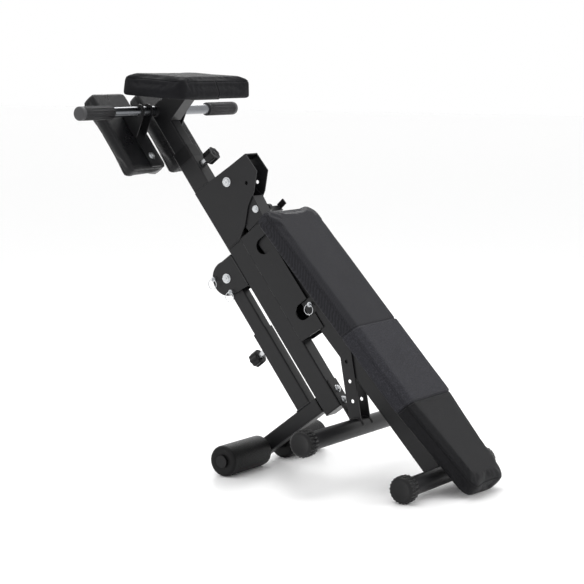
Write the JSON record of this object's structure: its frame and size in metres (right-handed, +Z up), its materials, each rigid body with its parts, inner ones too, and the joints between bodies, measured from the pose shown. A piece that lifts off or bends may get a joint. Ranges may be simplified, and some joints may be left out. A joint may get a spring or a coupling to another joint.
{
  "type": "roman chair",
  "caption": "Folding roman chair: padded bench hinged to a post with sliding hip pads, handlebar, small top pad and a swinging arm with foam rollers.",
  "frame": {"origin": "on the floor, in the middle of the folded machine's box", "axes": "+X from the hip pads to the low end of the bench, +Y across the machine to the far side, +Z up"},
  "size_m": [1.2594, 0.722, 1.1022],
  "materials": {
    "frame_paint": "satin black powder coat",
    "black_plastic": "moulded black plastic",
    "zinc": "zinc plated",
    "bar_steel": "satin plated steel",
    "axle_steel": "black",
    "grip_foam": "closed-cell foam",
    "roller_foam": "smooth closed-cell foam",
    "leatherette": "grained black leatherette"
  },
  "bodies": {
    "bench": {"rail": "frame_paint", "rail_ear_near": "frame_paint", "rail_ear_far": "frame_paint", "latch_bolt": "zinc", "rear_stabilizer": "frame_paint", "rear_cap_near": "black_plastic", "rear_cap_far": "black_plastic", "pad_bracket_upper": "frame_paint", "pad_bracket_lower": "frame_paint", "bench_pad": "leatherette"},
    "latch": {"latch_lever": "frame_paint"},
    "post": {"post_tube": "frame_paint", "post_collar": "black_plastic", "post_plug": "black_plastic", "gusset_near": "frame_paint", "gusset_far": "frame_paint", "gusset_web": "frame_paint", "hinge_bolt": "zinc", "hook_channel": "frame_paint", "front_stabilizer": "frame_paint", "front_cap_near": "black_plastic", "front_cap_far": "black_plastic", "prop_near": "frame_paint", "prop_far": "frame_paint", "foot_strap": "frame_paint", "foot_bolt_upper": "zinc", "foot_bolt_lower": "zinc", "post_barrel": "zinc", "clevis": "frame_paint", "arm_bolt": "zinc"},
    "hip_knob": {"post_knob": "black_plastic"},
    "hip_carriage": {"hip_tube": "frame_paint", "handlebar": "bar_steel", "grip_near": "grip_foam", "grip_far": "grip_foam", "hip_bracket_near": "frame_paint", "hip_bracket_far": "frame_paint", "hip_bolt_near": "zinc", "hip_bolt_far": "zinc", "hip_pad_near": "leatherette", "hip_pad_far": "leatherette", "saddle": "frame_paint", "top_plate": "frame_paint", "top_pad": "leatherette"},
    "arm": {"arm_tube": "frame_paint"},
    "roller_carriage": {"arm_slider": "frame_paint", "foot_tube": "frame_paint", "foot_plug_inner": "black_plastic", "foot_plug_outer": "black_plastic", "axle": "axle_steel", "arm_barrel": "zinc"},
    "roller_knob": {"arm_knob": "black_plastic"},
    "roller_left": {"roller_near": "roller_foam"},
    "roller_right": {"roller_far": "roller_foam"},
    "lock_pin": {"clevis_pin_lock": "zinc"},
    "lock_ring": {"clevis_pin_lock_ring": "zinc"},
    "spare_pin": {"clevis_pin_spare": "zinc"},
    "spare_ring": {"clevis_pin_spare_ring": "zinc"},
    "bench_pin": {"prop_pin": "zinc"},
    "bench_ring": {"prop_pin_ring": "zinc"}
  },
  "joints": [
    {"name": "frame_fold", "type": "hinge", "parent": "bench", "child": "post", "pos_m": [-0.21645, 0, 0.79731], "axis": [0, 1, 0], "range_deg": [0, 70]},
    {"name": "latch_turn", "type": "hinge", "parent": "bench", "child": "latch", "pos_m": [-0.11993, 0, 0.7246], "axis": [0, 1, 0], "range_deg": [0, 25], "stiffness_Nm_per_rad": 1.5},
    {"name": "hip_slide", "type": "slide", "parent": "post", "child": "hip_carriage", "axis": [0.6018, 0, -0.7986], "range_m": [-0.109, 0.0545]},
    {"name": "hip_knob_pull", "type": "slide", "parent": "post", "child": "hip_knob", "axis": [0.7986, 0, 0.6018], "range_m": [0, 0.01], "stiffness_N_per_m": 900},
    {"name": "arm_swing", "type": "hinge", "parent": "post", "child": "arm", "pos_m": [-0.22102, 0, 0.5209], "axis": [0, 1, 0], "range_deg": [0, 111]},
    {"name": "arm_slide", "type": "slide", "parent": "arm", "child": "roller_carriage", "axis": [0.6018, 0, -0.7986], "range_m": [-0.0545, 0.0545]},
    {"name": "arm_knob_pull", "type": "slide", "parent": "roller_carriage", "child": "roller_knob", "axis": [-0.7986, 0, -0.6018], "range_m": [0, 0.01], "stiffness_N_per_m": 900},
    {"name": "roller_spin_left", "type": "hinge", "parent": "roller_carriage", "child": "roller_left", "pos_m": [-0.08503, 0, 0.043], "axis": [0, 1, 0], "continuous": true},
    {"name": "roller_spin_right", "type": "hinge", "parent": "roller_carriage", "child": "roller_right", "pos_m": [-0.08503, 0, 0.043], "axis": [0, 1, 0], "continuous": true},
    {"name": "lock_pin_pull", "type": "slide", "parent": "post", "child": "lock_pin", "axis": [0, -1, 0], "range_m": [0, 0.035]},
    {"name": "lock_ring_swing", "type": "hinge", "parent": "lock_pin", "child": "lock_ring", "pos_m": [-0.20195, -0.037, 0.48348], "axis": [-1, 0, 0], "range_deg": [0, 80]},
    {"name": "spare_pin_pull", "type": "slide", "parent": "post", "child": "spare_pin", "axis": [0, -1, 0], "range_m": [0, 0.035]},
    {"name": "spare_ring_swing", "type": "hinge", "parent": "spare_pin", "child": "spare_ring", "pos_m": [-0.26279, -0.037, 0.51651], "axis": [-1, 0, 0], "range_deg": [0, 80]},
    {"name": "bench_pin_pull", "type": "slide", "parent": "post", "child": "bench_pin", "axis": [0, -1, 0], "range_m": [0, 0.035]},
    {"name": "bench_ring_swing", "type": "hinge", "parent": "bench_pin", "child": "bench_ring", "pos_m": [0.06925, -0.037, 0.46894], "axis": [-1, 0, 0], "range_deg": [0, 80]}
  ]
}
